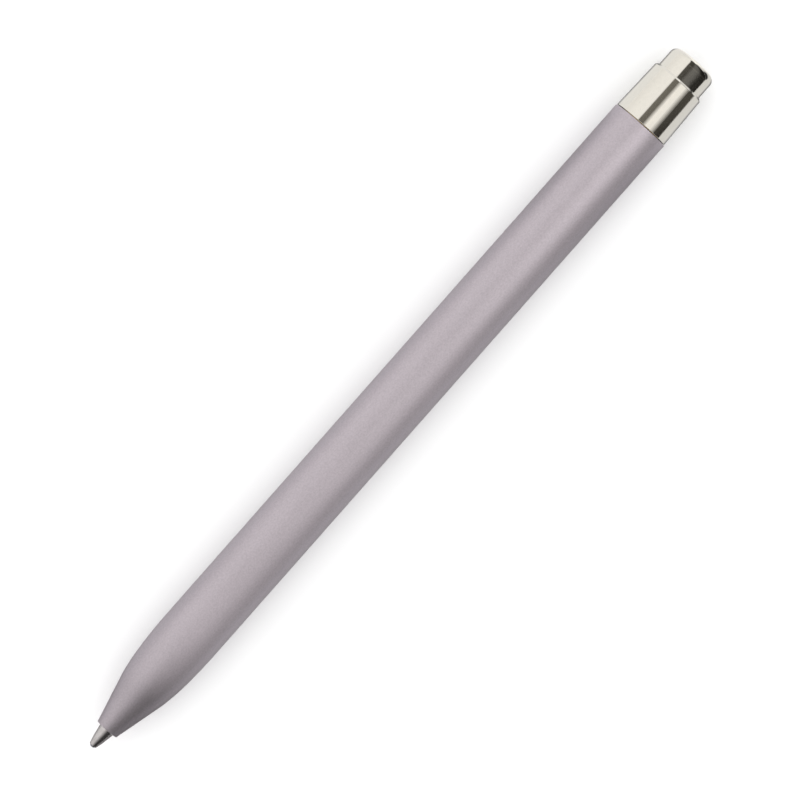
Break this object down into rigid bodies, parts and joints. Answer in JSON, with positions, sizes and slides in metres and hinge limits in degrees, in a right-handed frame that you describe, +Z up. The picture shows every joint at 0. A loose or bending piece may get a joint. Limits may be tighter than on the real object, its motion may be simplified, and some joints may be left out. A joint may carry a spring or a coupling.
{
  "type": "pushbutton ballpoint pen",
  "caption": "Slim pushbutton ballpoint pen with a satin metal barrel, conical nose and polished collar and button; the button drives the refill and the collar unscrews to change it.",
  "frame": {"origin": "middle of the pen's length on the surface that it lies on, straight below its axis", "axes": "+X along the pen from its tip to its button, +Z up, +Y across"},
  "size_m": [0.138, 0.0096, 0.0095],
  "materials": {
    "satin_aluminium": "satin",
    "polished_nickel": "polished",
    "turned_brass": "satin",
    "nickel_silver": "polished",
    "drawn_steel": "satin",
    "carbide": "polished",
    "white_acetal": "satin",
    "black_acetal": "satin",
    "grey_plastic": "satin",
    "black_rubber": "matte",
    "black_ink": "gloss",
    "clear_grease": "gloss"
  },
  "bodies": {
    "barrel": {"barrel": "satin_aluminium", "return_spring": "drawn_steel"},
    "seal": {"seal_ring": "black_rubber"},
    "collar": {"collar": "polished_nickel", "threaded_bush": "turned_brass", "cam_sleeve": "white_acetal"},
    "button": {"push_button": "polished_nickel", "plunger": "white_acetal"},
    "rotor": {"rotor": "black_acetal"},
    "refill": {"refill_tube": "drawn_steel", "refill_neck": "turned_brass", "refill_tip": "nickel_silver", "refill_crown": "grey_plastic", "ink_column": "black_ink", "ink_follower": "clear_grease"},
    "ball": {"writing_ball": "carbide"}
  },
  "joints": [
    {"name": "collar_lead", "type": "slide", "parent": "barrel", "child": "seal", "axis": [1, 0, 0], "range_m": [0, 0.00525]},
    {"name": "collar_turn", "type": "hinge", "parent": "seal", "child": "collar", "pos_m": [0.0525, 0, 0.00477], "axis": [1, 0, 0], "range_deg": [0, 1891]},
    {"name": "button_slide", "type": "slide", "parent": "collar", "child": "button", "axis": [1, 0, 0], "range_m": [-0.001, 0.005], "stiffness_N_per_m": 200},
    {"name": "rotor_turn", "type": "hinge", "parent": "button", "child": "rotor", "pos_m": [0.035, 0, 0.00477], "axis": [1, 0, 0], "range_deg": [-9.5, 45.5]},
    {"name": "refill_slide", "type": "slide", "parent": "barrel", "child": "refill", "axis": [1, 0, 0], "range_m": [-0.001, 0.005], "deforming": ["return_spring"]},
    {"name": "ball_roll", "type": "hinge", "parent": "refill", "child": "ball", "pos_m": [-0.0684, 0, 0.00477], "axis": [0, 1, 0], "continuous": true}
  ],
  "couplings": [
    {"joint": "collar_turn", "follows": "collar_lead", "rad_per_m": 6283.2},
    {"joint": "rotor_turn", "follows": "button_slide", "rad_per_m": 157.08},
    {"joint": "refill_slide", "follows": "button_slide", "ratio": 1}
  ]
}
